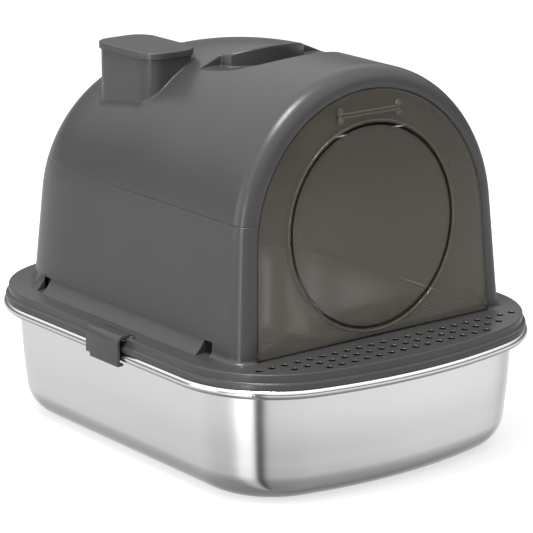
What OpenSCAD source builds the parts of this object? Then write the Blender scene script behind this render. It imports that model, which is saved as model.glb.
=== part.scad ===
// Hooded cat litter box: a steel pan under a two-piece plastic hood with a
// drop-down smoked front panel, a round swing flap, two side clips and a roof box.
// Origin: centre of the footprint on the floor. -Y is the front, +Z is up.

/* [Pan] */
// Overall length of the pan over its rolled rim
pan_l = 550; // [530:5:580]
// Overall width of the pan over its rolled rim
pan_w = 430; // [420:5:450]
// Height of the pan to the top of its rim
pan_h = 130; // [120:2:150]
// Thickness of the steel sheet
steel_t = 0.8; // [0.6:0.1:1.5]
// Radius of the rolled bead along the rim
bead_r = 5; // [4:0.5:5]
// Distance from the rim's outer edge in to the wall
rim_in = 17.5; // [16:0.5:20]
// Lean of the pan's walls
pan_draft = 4; // [2:0.5:5]
// Radius between wall and floor
floor_r = 36; // [25:1:40]

/* [Hood] */
// Thickness of the plastic shells
wall = 3; // [2.5:0.1:3.5]
// Height of the skirt between steel rim and plate
skirt_h = 15.5; // [14:0.5:18]
// Width of the hood at the foot of the front panel
hood_w = 353; // [340:1:356]
// Height of the roof above the foot of the front panel
roof_h = 277; // [272:1:290]
// Radius of the roof's arch
roof_r = 168.5; // [165:0.5:170]
// Front face of the hood, at the foot of the panel
hood_front = -195; // [-200:1:-190]
// Rear face of the hood, at the same height
hood_rear = 252; // [240:1:255]
// Backward lean of the front face
front_lean = 3.4; // [2:0.2:5]
// Radius round the front edge of the hood
front_r = 17; // [12:1:20]
// Height of the seam between lower and upper hood
seam_z = 284; // [270:1:295]

/* [Front panel and flap] */
// Width of the front opening at its foot
door_w = 307; // [300:1:310]
// Height of the front opening
door_h = 255.5; // [250:0.5:256]
// Radius of the opening's arch
door_r = 148.5; // [146:0.5:150]
// Thickness of the smoked panel
panel_t = 3; // [2.5:0.5:3]
// Radius of the round entry
entry_r = 106.7; // [100:0.1:107]
// Height of the entry's centre above the foot of the panel
entry_h = 114; // [113:0.5:116]
// Gap between flap and entry
flap_gap = 3; // [2.6:0.1:4]
// Height of the flap's axis above the entry's centre
flap_axis = 98; // [97:0.5:99]

/* [Clips] */
// Width of each side clip
clip_w = 58; // [50:1:64]
// Place of the clips along the pan
clip_y = -15; // [-30:1:20]

/* [Roof box] */
// Width of the box's lid
lid_w = 69; // [66:1:72]
// Length of the box's lid
lid_l = 106; // [100:1:110]
// Height of the lid's top above the floor
lid_z = 420.5; // [418:0.5:424]

/* [Hidden] */

// Longer than the whole object, for cutting planes
far = 700;

// Footprint: bowed ends, straight sides and wide corners.
// end_bow is how far the ends bulge, end_r the radius that gives, corner_a where corner and end meet
end_bow = 45;
corner_r = 117;
end_steps = 6;
corner_steps = 9;
end_r = (pow(pan_w / 2, 2) + end_bow * end_bow) / (2 * end_bow);
corner_x = pan_w / 2 - corner_r;
corner_y = pan_l / 2 - end_r + sqrt(pow(end_r - corner_r, 2) - corner_x * corner_x);
corner_a = atan2(corner_y - pan_l / 2 + end_r, corner_x);

// Top of the plate, foot of the front panel, and the plate's edge in from the rim's edge
plate_z = pan_h + skirt_h;
foot_z = plate_z + 2;
plate_in = 6;

// Side line of an arch: angle at which it touches the arch's circle
function touch(w, r, zc) = atan2(-zc, w) + acos(r / norm([w, zc]));
// Half arch outline as [x, z], from the foot at height low, up and over to the middle
function half_arch(w, r, zc, low, steps) =
    let (a = touch(w, r, zc))
    concat([[w - low * tan(a), low]],
           [for (i = [0:steps]) let (b = a + (90 - a) * i / steps) [r * cos(b), zc + r * sin(b)]]);
function mirrored(half) =
    concat(half, [for (i = [len(half) - 2:-1:0]) [-half[i][0], half[i][1]]]);

// A closed solid through equal rings of points
module loft(rings) {
    n = len(rings[0]);
    m = len(rings);
    polyhedron(
        points = [for (r = rings) each r],
        faces = concat(
            [[for (k = [0:n - 1]) k]],
            [for (j = [0:m - 2], k = [0:n - 1])
                [j * n + k, (j + 1) * n + k, (j + 1) * n + (k + 1) % n, j * n + (k + 1) % n]],
            [[for (k = [n - 1:-1:0]) (m - 1) * n + k]]),
        convexity = 8);
}

// Quarter of the footprint as [point, outward direction]
quarter = concat(
    [for (i = [0:end_steps - 1]) let (a = 90 - (90 - corner_a) * i / end_steps)
        [[0, pan_l / 2 - end_r] + end_r * [cos(a), sin(a)], [cos(a), sin(a)]]],
    [for (i = [0:corner_steps]) let (a = corner_a * (1 - i / corner_steps))
        [[corner_x, corner_y] + corner_r * [cos(a), sin(a)], [cos(a), sin(a)]]]);
quarter_n = len(quarter);
function flip(q, sx, sy) = [[q[0][0] * sx, q[0][1] * sy], [q[1][0] * sx, q[1][1] * sy]];
footprint = concat(
    [for (i = [quarter_n - 1:-1:1]) flip(quarter[i], 1, 1)],
    [for (i = [0:quarter_n - 1]) flip(quarter[i], -1, 1)],
    [for (i = [quarter_n - 1:-1:1]) flip(quarter[i], -1, -1)],
    [for (i = [0:quarter_n - 1]) flip(quarter[i], 1, -1)]);
// Footprint moved in by a distance, at a height
function ring(inset, z) =
    [for (f = footprint) [f[0][0] - inset * f[1][0], f[0][1] - inset * f[1][1], z]];
function arc(cx, cz, r, from, to, steps) =
    [for (i = [0:steps]) let (a = from + (to - from) * i / steps) [cx + r * cos(a), cz + r * sin(a)]];

// ---- Pan ----
// Centre of the floor radius, as a distance in from the rim
floor_in = rim_in + (pan_h - floor_r) * tan(pan_draft) + floor_r / cos(pan_draft);
// Radius between wall and rim, and the angle at which the bead closes on the rim
flange_r = 3;
bead_join = acos(1 - steel_t / bead_r);
// Section of the sheet: up the outside, round the bead, and down the inside
pan_profile = concat(
    arc(floor_in, floor_r, floor_r, 270, 180 + pan_draft, 6),
    arc(rim_in - flange_r, pan_h - steel_t - flange_r, flange_r, 0, 90, 3),
    arc(bead_r, pan_h - bead_r, bead_r, 90 - bead_join, -270, 12),
    arc(rim_in - flange_r, pan_h - steel_t - flange_r, flange_r + steel_t, 90, 0, 3),
    arc(floor_in, floor_r, floor_r - steel_t, 180 + pan_draft, 270, 6));
module pan() {
    color("silver") loft([for (q = pan_profile) ring(q[0], q[1])]);
}

// ---- Hood shape ----
hood_half = hood_w / 2;
arch_zc = roof_h - roof_r;
// Rear corners in plan: length and roundness
rear_corner = 139;
rear_corner_power = 2.7;
body_end = hood_rear - rear_corner;
// Fall of the roof towards the rear: start, roundness and the height left at the rear face
dome_start = -20;
dome_power = 1.75;
rear_rise = 196;
rear_lean = 5;
// Steps round the arch, round the front edge, along the body and along the dome
arch_steps = 16;
front_steps = 4;
body_steps = 4;
dome_steps = 14;

function falling(u, power) = pow(1 - pow(max(0, min(1, u)), power), 1 / power);
// Half-width factor and height factor of the section at y, for a shell moved in by t
function section_w(y, t) =
    let (w = hood_half - t, c = rear_corner - t)
    (w - c + c * falling((y - body_end) / c, rear_corner_power)) / w;
function section_h(y, t) =
    let (h = roof_h - t, s = rear_rise - t)
    (s + (h - s) * falling((y - dome_start) / (hood_rear - t - dome_start), dome_power)) / h;
// One section of the hood: outline moved in by t, scaled, and leaned at both ends
function hood_section(y, inset, t, low, front) =
    let (s = (y - front) / (hood_rear - t - front), kw = section_w(y, t), kh = section_h(y, t))
    [for (q = mirrored(half_arch(hood_half - inset, roof_r - inset, arch_zc, low, arch_steps)))
        let (z = q[1] > 0 ? q[1] * kh : q[1])
        [-q[0] * kw, y + z * ((1 - s) * tan(front_lean) - s * tan(rear_lean)), foot_z + z]];
function hood_stations(t, front) = concat(
    [for (i = [0:body_steps - 1]) front + (dome_start - front) * i / body_steps],
    [for (i = [0:dome_steps]) dome_start + (hood_rear - t - dome_start) * sin(90 * i / dome_steps)]);
// The shell starts inside the plate's thickness
hood_low = plate_z - foot_z - wall;

module hood_outside() {
    nose = hood_front + front_r;
    loft(concat(
        [for (i = [front_steps:-1:1]) let (a = 90 * i / front_steps)
            hood_section(hood_front + front_r * (1 - sin(a)), front_r * (1 - cos(a)), 0,
                         hood_low, hood_front + front_r * (1 - sin(a)))],
        [for (y = hood_stations(0, nose)) hood_section(y, 0, 0, hood_low, nose)]));
}
// Depth of the solid frame round the front opening
frame_depth = 12;
module hood_inside() {
    start = hood_front + frame_depth;
    loft([for (y = hood_stations(wall, start))
        hood_section(y, wall, wall, hood_low - 10, start)]);
}

// Moves a shape drawn on the front face, x across and y up, into place
module on_front(depth = 0) {
    translate([0, hood_front, foot_z]) rotate([90 - front_lean, 0, 0]) translate([0, 0, -depth])
        children();
}
module door_shape(inset, low) {
    polygon(mirrored(half_arch(door_w / 2 - inset, door_r - inset, door_h - door_r, low, 24)));
}
// The front opening, with a stop lip behind the panel that ends above its pivots
rebate = 3.6;
lip = 4;
lip_start = 14;
panel_gap = 0.7;
opening_low = -1.5;
lip_opening_low = 8;
module door_above(inset, low) {
    intersection() {
        door_shape(inset, low);
        translate([-far / 2, low]) square([far, far]);
    }
}
module front_opening() {
    on_front(rebate) linear_extrude(40) door_shape(0, opening_low);
    on_front(60) linear_extrude(70) door_above(lip, lip_opening_low);
    on_front(16) linear_extrude(30) difference() {
        door_above(0, opening_low);
        translate([-far / 2, lip_start]) square([far, far]);
    }
}

// Panel pivots: pegs at the foot of the panel that turn in the hood's front frame.
// peg_h is above the panel's foot and peg_depth behind its face
peg_h = 5;
peg_r = 2.4;
peg_depth = 2.4;
peg_l = 10;
peg_clear = 0.06;
module along_x(r, l) {
    rotate([0, 90, 0]) cylinder(r = r, h = l, center = true, $fn = 48);
}

// ---- Clip hinge ----
// A pin along each long side of the plate, held in two ears beside the clip's barrel
pin_x = pan_w / 2 - 12;
pin_z = plate_z - 2;
pin_r = 1.5;
pin_l = clip_w + 10;
clip_barrel_r = 3.2;
module along_y(r, l) {
    rotate([90, 0, 0]) cylinder(r = r, h = l, center = true, $fn = 48);
}
ear_l = clip_w + 14;
clip_gap = 0.6;
module both_sides() {
    children();
    mirror([1, 0, 0]) children();
}

// ---- Lower hood ----
// The skirt's lip stands on the steel rim and steps in below the plate's edge
lip_in = 2.6;
skirt_lip_h = 5;
step_h = 1.4;
edge_r = 0.6;
plate_r = 1.5;
skirt_profile = [
    [lip_in + wall, pan_h], [lip_in + edge_r, pan_h], [lip_in, pan_h + edge_r],
    [lip_in, pan_h + skirt_lip_h], [plate_in, pan_h + skirt_lip_h + step_h],
    [plate_in, plate_z - plate_r], [plate_in + plate_r * 0.3, plate_z - plate_r * 0.3],
    [plate_in + plate_r, plate_z]];
module skirt_and_plate() {
    difference() {
        loft([for (q = concat([[60, pan_h]], skirt_profile, [[60, plate_z]])) ring(q[0], q[1])]);
        loft([ring(plate_in + wall, pan_h - 1), ring(plate_in + wall, plate_z - wall)]);
    }
}
// Rows of round holes in the ledge, from the panel outwards
hole_r = 3.9;
hole_pitch = 16;
hole_counts = [22, 18, 14];
first_row = 21;
module ledge_holes() {
    for (row = [0:len(hole_counts) - 1], i = [0:hole_counts[row] - 1])
        translate([(i - (hole_counts[row] - 1) / 2) * hole_pitch,
                   hood_front - first_row - row * hole_pitch, plate_z - wall - 1])
            cylinder(r = hole_r, h = wall + 2, $fn = 16);
}
// Two windows at the foot of each side wall
window = [9, 13, 15];
window_y = [-142, 153];
module side_windows() {
    both_sides() for (y = window_y)
        translate([hood_half - 5, y - window[1] / 2, plate_z - 3]) cube(window);
}
// Strip of plate under the front panel, with an upstand behind it
sill_h = 6;
sill_l = 24;
sill_y = hood_front + 5;
sill_in = 12;
// Clip hinge: block on the plate's edge, the pocket in it for the clip, and a knuckle at each end
ear = [9.5, 7.5];
knuckle_r = 3.6;
knuckle_l = 5.5;
pocket_x = 5.3;
pocket_h = 4;
module lower_hood() {
    color("dimgray") difference() {
        union() {
            difference() {
                union() {
                    skirt_and_plate();
                    intersection() {
                        hood_outside();
                        translate([-far / 2, -far / 2, 0]) cube([far, far, seam_z]);
                    }
                }
                hood_inside();
                front_opening();
            }
            both_sides() translate([pin_x - 6, clip_y - ear_l / 2, plate_z - ear[1] - 0.5])
                cube([ear[0], ear_l, ear[1]]);
            both_sides() for (side = [-1, 1])
                translate([pin_x, clip_y + side * (clip_w + knuckle_l + 2 * clip_gap) / 2, pin_z])
                    along_y(knuckle_r, knuckle_l);
            translate([-hood_half, sill_y, plate_z - wall]) cube([hood_w, sill_l, wall]);
            translate([sill_in - hood_half, sill_y + sill_l - wall, plate_z - wall])
                cube([hood_w - 2 * sill_in, wall, wall + sill_h]);
        }
        both_sides() {
            translate([pin_x - pocket_x, clip_y - clip_w / 2 - clip_gap, pin_z - pocket_h])
                cube([20, clip_w + 2 * clip_gap, 20]);
            translate([pin_x, clip_y, pin_z]) along_y(pin_r, pin_l);
            on_front(peg_depth) translate([door_w / 2, peg_h, 0]) along_x(peg_r + peg_clear, 16);
        }
        ledge_holes();
        side_windows();
    }
}

// ---- Upper hood ----
// Carrying handle: a half-oval recess in the roof, with a bowed grip that stands out from its flat side
recess_half = 81.2;
recess_front = 86;
recess_z = 403.5;
recess_step = 4;
grip_w = 104;
grip_out = 28;
grip_bow_r = 79;
grip_corner = 12;
module grip_outline(grow) {
    intersection() {
        translate([0, grip_bow_r - grip_out]) circle(r = grip_bow_r - grow, $fn = 96);
        translate([0, far / 2 - grip_out]) round_rect(grip_w - 2 * grow, far - 2 * grow, grip_corner);
    }
}
module recess_shape(grow) {
    difference() {
        intersection() {
            polygon([for (a = [0:recess_step:359])
                [(recess_half + grow) * cos(a), (recess_front + grow) * sin(a)]]);
            translate([-far / 2, -far]) square([far, far + grow]);
        }
        grip_outline(grow);
    }
}
// Rectangle with round corners, centred
module round_rect(w, l, r) {
    square([w - 2 * r, l], center = true);
    square([w, l - 2 * r], center = true);
    for (x = [-1, 1], y = [-1, 1]) translate([x * (w / 2 - r), y * (l / 2 - r)]) circle(r = r, $fn = 48);
}
// Roof box at the rear left: place, walls, and vent slots in its floor
box_at = [-95, 76];
lid_r = 22;
lid_h = 7;
lid_over = 2.5;
box_w = lid_w - 2 * lid_over;
box_l = lid_l - 2 * lid_over;
box_r = lid_r - lid_over;
box_floor = 352;
box_wall = 2.5;
slot = [36, 4];
slot_pitch = 11;
module at_box(z) {
    translate([box_at[0], box_at[1], z]) children();
}
// Opening of the box, made smaller all round by t
module box_opening(t) {
    round_rect(box_w - 2 * box_wall - 2 * t, box_l - 2 * box_wall - 2 * t, box_r - box_wall - t);
}
module vent_slots() {
    for (i = [-3:3]) translate([0, i * slot_pitch, -1]) linear_extrude(box_wall + 2)
        square(slot, center = true);
}
// Snap tabs that reach down inside the lower hood
tab = [2.5, 24, 16];
tab_y = [-120, 60];
tab_x = hood_half - 16.9;
module upper_hood() {
    color("dimgray") difference() {
        union() {
            difference() {
                intersection() {
                    hood_outside();
                    translate([-far / 2, -far / 2, seam_z]) cube([far, far, far]);
                }
                hood_inside();
                front_opening();
            }
            intersection() {
                hood_outside();
                translate([0, 0, recess_z - wall]) linear_extrude(60) recess_shape(wall);
            }
            at_box(box_floor) linear_extrude(lid_z - lid_h - box_floor) round_rect(box_w, box_l, box_r);
            both_sides() for (y = tab_y) translate([tab_x, y, seam_z - tab[2] / 2]) cube(tab);
        }
        translate([0, 0, recess_z]) linear_extrude(60) recess_shape(0);
        at_box(box_floor + box_wall) linear_extrude(lid_z) box_opening(0);
        at_box(box_floor) vent_slots();
    }
}

// ---- Front panel ----
// Collar round the entry, left open at the top for the flap's turn, and a raised bone-shaped grip above it
collar = 7;
collar_w = 2.5;
collar_top = 84;
grip_bone = [79, 4.5];
grip_h = 232;
grip_t = 1.4;
lobe_r = 4.5;
module bone_shape() {
    square(grip_bone, center = true);
    for (x = [-1, 1], y = [-1, 1])
        translate([x * grip_bone[0] / 2, y * lobe_r * 0.8]) circle(r = lobe_r, $fn = 32);
}
// The flap turns on two short pins, flap_depth behind the panel's face
flap_depth = 1.5;
module at_flap_axis() {
    on_front(flap_depth) translate([0, entry_h + flap_axis, 0]) children();
}
flap_pin_r = 1.1;
pin_clear = 0.05;
flap_pin_x = 38;
flap_pin_l = 16;
module front_panel() {
    color([0.33, 0.31, 0.28, 0.55]) difference() {
        union() {
            on_front(panel_t) linear_extrude(panel_t) difference() {
                door_shape(panel_gap, 0);
                translate([0, entry_h]) circle(r = entry_r, $fn = 120);
            }
            on_front(collar) linear_extrude(collar) translate([0, entry_h]) difference() {
                circle(r = entry_r + collar_w, $fn = 120);
                circle(r = entry_r, $fn = 120);
                translate([-far / 2, collar_top]) square([far, far]);
            }
            on_front() linear_extrude(grip_t) translate([0, grip_h]) bone_shape();
            both_sides() on_front(peg_depth)
                translate([door_w / 2 - panel_gap - 6 + peg_l / 2, peg_h, 0]) along_x(peg_r, peg_l);
        }
        both_sides() at_flap_axis() translate([flap_pin_x, 0, 0]) along_x(flap_pin_r, flap_pin_l);
    }
}

// ---- Flap ----
flap_r = entry_r - flap_gap;
flap_t = 2.4;
barrel_r = 1.9;
barrel_l = 9;
barrel_x = flap_pin_x - 9.5;
module flap() {
    color([0.33, 0.31, 0.28, 0.55]) difference() {
        union() {
            on_front(flap_depth + flap_t / 2) linear_extrude(flap_t)
                translate([0, entry_h]) circle(r = flap_r, $fn = 120);
            both_sides() at_flap_axis() translate([barrel_x, 0, 0]) along_x(barrel_r, barrel_l);
        }
        both_sides() at_flap_axis() translate([flap_pin_x, 0, 0])
            along_x(flap_pin_r + pin_clear, flap_pin_l + 0.6);
    }
}
module flap_pin(side) {
    color("darkgray") at_flap_axis() translate([side * flap_pin_x, 0, 0]) along_x(flap_pin_r, flap_pin_l);
}

// ---- Clips ----
// Clip section: x outward and y up, measured from the pin. It arches over the plate's edge, runs down
// outside the skirt and hooks in under the steel rim
clip_t = 3;
clip_out = 16.5;
clip_top = 4.5;
clip_low = -27.5;
clip_curve = 8;
hook = 6;
// Step in the clip's lower rear corner, as length and height
corner_step = [7, 4];
module bent(out, top, curve) {
    translate([0, clip_low]) square([out - curve, top - clip_low]);
    translate([0, clip_low]) square([out, top - curve - clip_low]);
    translate([out - curve, top - curve]) circle(r = curve, $fn = 48);
}
module clip_section() {
    difference() {
        union() {
            difference() {
                bent(clip_out, clip_top, clip_curve);
                bent(clip_out - clip_t, clip_top - clip_t, clip_curve - clip_t);
            }
            translate([clip_out - hook, clip_low]) square([hook, clip_t]);
            translate([clip_out - hook, clip_low + clip_t / 2]) circle(r = clip_t / 2, $fn = 32);
            circle(r = clip_barrel_r, $fn = 48);
        }
        circle(r = pin_r + pin_clear, $fn = 48);
    }
}
module clip() {
    difference() {
        translate([pin_x, clip_y + clip_w / 2, pin_z]) rotate([90, 0, 0]) linear_extrude(clip_w)
            clip_section();
        translate([pin_x, clip_y + clip_w / 2 - corner_step[0], pin_z + clip_low - 1])
            cube([20, corner_step[0] + 1, corner_step[1] + 1]);
    }
}
module clip_right() {
    color("dimgray") clip();
}
module clip_left() {
    color("dimgray") mirror([1, 0, 0]) clip();
}
module clip_pin(side) {
    color("darkgray") translate([side * pin_x, clip_y, pin_z]) along_y(pin_r, pin_l);
}

// ---- Roof box contents ----
// The lid's plug goes down inside the box
plug_gap = 0.3;
plug_wall = 1.8;
plug_h = 5;
lid_top = 2.5;
module box_lid() {
    color("dimgray") {
        at_box(lid_z - lid_h) difference() {
            linear_extrude(lid_h) round_rect(lid_w, lid_l, lid_r);
            translate([0, 0, -1]) linear_extrude(lid_h - lid_top + 1) box_opening(plug_gap);
        }
        at_box(lid_z - lid_h - plug_h) linear_extrude(plug_h + lid_h - lid_top) difference() {
            box_opening(plug_gap);
            box_opening(plug_gap + plug_wall);
        }
    }
}
// Lift-out tray with slots in its floor, and the bag of charcoal in it
tray_gap = 0.5;
tray_wall = 1.5;
tray_h = 32;
module filter_tray() {
    color("gray") at_box(box_floor + box_wall) difference() {
        linear_extrude(tray_h) box_opening(tray_gap);
        translate([0, 0, tray_wall]) linear_extrude(tray_h) box_opening(tray_gap + tray_wall);
        vent_slots();
    }
}
bag = [50, 84, 18];
bag_r = 12;
module charcoal_bag() {
    color("black") at_box(box_floor + box_wall + tray_wall)
        linear_extrude(bag[2]) round_rect(bag[0], bag[1], bag_r);
}

pan();
lower_hood();
upper_hood();
front_panel();
flap();
flap_pin(-1);  // flap_pin_left
flap_pin(1);  // flap_pin_right
clip_left();
clip_right();
clip_pin(-1);  // clip_pin_left
clip_pin(1);  // clip_pin_right
box_lid();
filter_tray();
charcoal_bag();
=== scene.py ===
"""Looks of a hooded cat litter box: steel pan, satin grey hood, smoked front panel with a round flap.

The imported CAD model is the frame. Shapes are worked out in millimetres, in the frame's own axes:
x across, y from front (-) to back (+), z up from the floor.
"""
import math
from collections import namedtuple

import bmesh
import bpy
import numpy as np
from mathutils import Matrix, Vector
from mathutils.bvhtree import BVHTree


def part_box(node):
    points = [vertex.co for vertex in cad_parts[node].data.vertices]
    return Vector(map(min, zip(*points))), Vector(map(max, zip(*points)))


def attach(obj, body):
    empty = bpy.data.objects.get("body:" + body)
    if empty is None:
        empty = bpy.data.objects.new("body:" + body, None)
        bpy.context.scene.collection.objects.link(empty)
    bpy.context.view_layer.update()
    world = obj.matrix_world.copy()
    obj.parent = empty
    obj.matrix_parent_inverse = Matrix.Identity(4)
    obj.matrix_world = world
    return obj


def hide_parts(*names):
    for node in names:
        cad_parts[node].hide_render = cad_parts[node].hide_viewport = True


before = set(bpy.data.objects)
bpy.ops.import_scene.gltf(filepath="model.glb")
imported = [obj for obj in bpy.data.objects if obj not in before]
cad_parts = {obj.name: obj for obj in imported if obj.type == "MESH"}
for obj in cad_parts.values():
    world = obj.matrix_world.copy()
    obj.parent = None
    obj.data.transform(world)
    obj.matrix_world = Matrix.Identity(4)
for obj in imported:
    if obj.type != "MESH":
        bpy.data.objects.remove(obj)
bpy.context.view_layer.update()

MM = 0.001


def box_mm(node):
    """Lowest and highest corner of a CAD node, in millimetres."""
    lo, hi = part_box(node)
    return np.array(lo) / MM, np.array(hi) / MM


# ---------------------------------------------------------------- driving sizes, millimetres
pan_lo, pan_hi = box_mm("pan")
lid_lo, lid_hi = box_mm("box_lid")
bag_lo, bag_hi = box_mm("charcoal_bag")
clip_lo, clip_hi = box_mm("clip_left")
pin_lo, pin_hi = box_mm("clip_pin_right")

PAN_W = pan_hi[0] - pan_lo[0]
PAN_L = pan_hi[1] - pan_lo[1]
PAN_TOP = pan_hi[2]
SEAM_Z = box_mm("lower_hood")[1][2]
ROOF_Z = box_mm("upper_hood")[1][2]
PLATE_Z = PAN_TOP + 15.5
# The foot of the front panel, and heights measured up from it
FOOT_Z = PLATE_Z + 2
ROOF_H = ROOF_Z - FOOT_Z
SEAM_H = SEAM_Z - FOOT_Z
WALL = 3.0

# Footprint: bowed ends and wide corners
END_BOW = 45.0
CORNER_R = 117.0

# Hood: arch, front edge, rear corners and dome
HOOD_HALF = 176.5
ROOF_R = 168.5
ARCH_ZC = ROOF_H - ROOF_R
HOOD_FRONT = -195.0
HOOD_REAR = 252.0
FRONT_R = 17.0
NOSE = HOOD_FRONT + FRONT_R
FRAME_DEPTH = 12.0
LEAN = math.radians(3.4)
FRONT_TAN = math.tan(LEAN)
REAR_TAN = math.tan(math.radians(5.0))
REAR_CORNER = 139.0
REAR_CORNER_POWER = 2.7
DOME_START = -20.0
DOME_POWER = 1.75
REAR_RISE = 196.0

# Front opening
DOOR_HALF = 153.5
DOOR_R = 148.5
DOOR_ZC = 107.0
REBATE = 3.6
LIP = 4.0
LIP_START = 14.0


# ---------------------------------------------------------------- mesh helpers
class Shape:
    """Points and faces of one piece, in millimetres, added sheet by sheet."""

    def __init__(self):
        self.points = []
        self.faces = []

    def add_points(self, points):
        """Adds points, and returns the index of the first."""
        first = len(self.points)
        self.points.extend(tuple(p) for p in points)
        return first

    def sheet(self, rows, closed=False):
        """A surface through rows of equally many points. closed joins each row's end to its start."""
        rows = np.asarray(rows, float)
        count, width = rows.shape[:2]
        first = self.add_points(rows.reshape(-1, 3))
        last = width if closed else width - 1
        for j in range(count - 1):
            for k in range(last):
                a = first + j * width + k
                b = first + j * width + (k + 1) % width
                self.faces.append((a, b, b + width, a + width))

    def face(self, points):
        """One face through a loop of points."""
        first = self.add_points(points)
        self.faces.append(tuple(range(first, first + len(points))))

    def solid(self, rows):
        """A closed solid through closed rings, capped at both ends."""
        self.sheet(rows, closed=True)
        self.face(rows[0])
        self.face(rows[-1])

    def build(self, name, weld=0.004, sharp=40.0):
        """The finished object, in metres."""
        mesh = bpy.data.meshes.new(name)
        mesh.from_pydata([tuple(c * MM for c in p) for p in self.points], [], self.faces)
        obj = bpy.data.objects.new(name, mesh)
        bpy.context.scene.collection.objects.link(obj)
        tidy(obj, weld, sharp)
        return obj


def tidy(obj, weld=0.004, sharp=40.0):
    """Welds equal points, turns faces outward and shades smooth up to an angle."""
    bm = bmesh.new()
    bm.from_mesh(obj.data)
    bmesh.ops.remove_doubles(bm, verts=bm.verts, dist=weld * MM)
    bmesh.ops.dissolve_degenerate(bm, edges=bm.edges, dist=weld * MM * 0.5)
    bmesh.ops.recalc_face_normals(bm, faces=bm.faces)
    bm.to_mesh(obj.data)
    bm.free()
    obj.data.shade_smooth()
    obj.data.set_sharp_from_angle(angle=math.radians(sharp))


def carve(obj, cutter):
    """Cuts one mesh out of another, and removes the cutter."""
    modifier = obj.modifiers.new("carve", "BOOLEAN")
    modifier.operation = "DIFFERENCE"
    modifier.solver = "MANIFOLD"
    modifier.object = cutter
    bpy.context.view_layer.objects.active = obj
    bpy.ops.object.modifier_apply(modifier=modifier.name)
    bpy.data.objects.remove(cutter)


def join(first, *others):
    """Joins meshes into the first one."""
    bm = bmesh.new()
    for obj in (first, *others):
        bm.from_mesh(obj.data)
    bm.to_mesh(first.data)
    bm.free()
    for obj in others:
        bpy.data.objects.remove(obj)
    return first


def with_z(points, z):
    """Plan points at one height, or at a height each."""
    z = np.broadcast_to(z, len(points))
    return np.column_stack([points[:, 0], points[:, 1], z])


def prism(points, low, high, name="cutter"):
    """A solid over a plan outline, between two heights."""
    shape = Shape()
    shape.solid([with_z(points, low), with_z(points, high)])
    return shape.build(name)


def block(lo, hi, name="cutter"):
    """A box between its lowest and highest corners."""
    corners = np.array([[lo[0], lo[1]], [hi[0], lo[1]], [hi[0], hi[1]], [lo[0], hi[1]]])
    return prism(corners, lo[2], hi[2], name)


def arc(cx, cz, r, start, end, steps):
    """Points on a circle between two angles in degrees."""
    a = np.radians(np.linspace(start, end, steps + 1))
    return np.column_stack([cx + r * np.cos(a), cz + r * np.sin(a)])


def outward(points):
    """Outward direction at each point of a closed outline that runs counter-clockwise."""
    along = np.roll(points, -1, axis=0) - np.roll(points, 1, axis=0)
    normal = np.column_stack([along[:, 1], -along[:, 0]])
    return normal / np.linalg.norm(normal, axis=1)[:, None]


def swept(points, normals, profile):
    """Rings of an outline moved in by each inset of a profile, at its height."""
    return [with_z(points - inset * normals, z) for inset, z in profile]


def rounded_rect(centre, width, length, radius, steps=12):
    """Counter-clockwise outline of a rectangle with round corners, and its outward directions."""
    points, normals = [], []
    for sx, sy, start in ((1, -1, -90), (1, 1, 0), (-1, 1, 90), (-1, -1, 180)):
        a = np.radians(np.linspace(start, start + 90, steps + 1))
        direction = np.column_stack([np.cos(a), np.sin(a)])
        corner = np.array([sx * (width / 2 - radius), sy * (length / 2 - radius)])
        points.append(np.array(centre) + corner + radius * direction)
        normals.append(direction)
    return subdivided(np.vstack(points), np.vstack(normals))


def subdivided(points, normals, longest=4.0):
    """Adds points along an outline's long straight stretches."""
    out_p, out_n = [], []
    for k in range(len(points)):
        a, b = points[k], points[(k + 1) % len(points)]
        na, nb = normals[k], normals[(k + 1) % len(points)]
        parts = max(1, int(math.ceil(np.linalg.norm(b - a) / longest)))
        for i in range(parts):
            t = i / parts
            n = na * (1 - t) + nb * t
            out_p.append(a * (1 - t) + b * t)
            out_n.append(n / np.linalg.norm(n))
    return np.array(out_p), np.array(out_n)


def smooth_step(value, start, end):
    """Rises from 0 to 1 between two values, level at both ends."""
    t = np.clip((value - start) / (end - start), 0, 1)
    return t * t * (3 - 2 * t)


def falling(u, power):
    """Falls from 1 to 0 along a quarter of a superellipse, as u goes from 0 to 1."""
    return (1 - np.clip(u, 0, 1) ** power) ** (1 / power)


# ---------------------------------------------------------------- footprint of pan and plate
def footprint(end_steps=22, corner_steps=30):
    """Counter-clockwise outline of the pan's rim, and its outward directions."""
    end_r = ((PAN_W / 2) ** 2 + END_BOW**2) / (2 * END_BOW)
    cx = PAN_W / 2 - CORNER_R
    bow_y = PAN_L / 2 - end_r
    cy = bow_y + math.sqrt((end_r - CORNER_R) ** 2 - cx**2)
    meet = math.degrees(math.atan2(cy - bow_y, cx))
    corner = np.radians(np.linspace(0, meet, corner_steps, endpoint=False))
    end = np.radians(np.linspace(meet, 90, end_steps, endpoint=False))
    around = np.concatenate([corner, end])
    direction = np.column_stack([np.cos(around), np.sin(around)])
    centre = np.vstack([np.tile([cx, cy], (corner_steps, 1)), np.tile([0, bow_y], (end_steps, 1))])
    radius = np.concatenate([np.full(corner_steps, CORNER_R), np.full(end_steps, end_r)])
    quarter = centre + radius[:, None] * direction
    right = np.vstack([quarter, [[0.0, PAN_L / 2]]])
    right_out = np.vstack([direction, [[0.0, 1.0]]])
    back = np.vstack([right, right[::-1][1:] * [-1, 1]])
    back_out = np.vstack([right_out, right_out[::-1][1:] * [-1, 1]])
    return subdivided(np.vstack([back, -back]), np.vstack([back_out, -back_out]), longest=12.0)


RIM, RIM_OUT = footprint()


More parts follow.
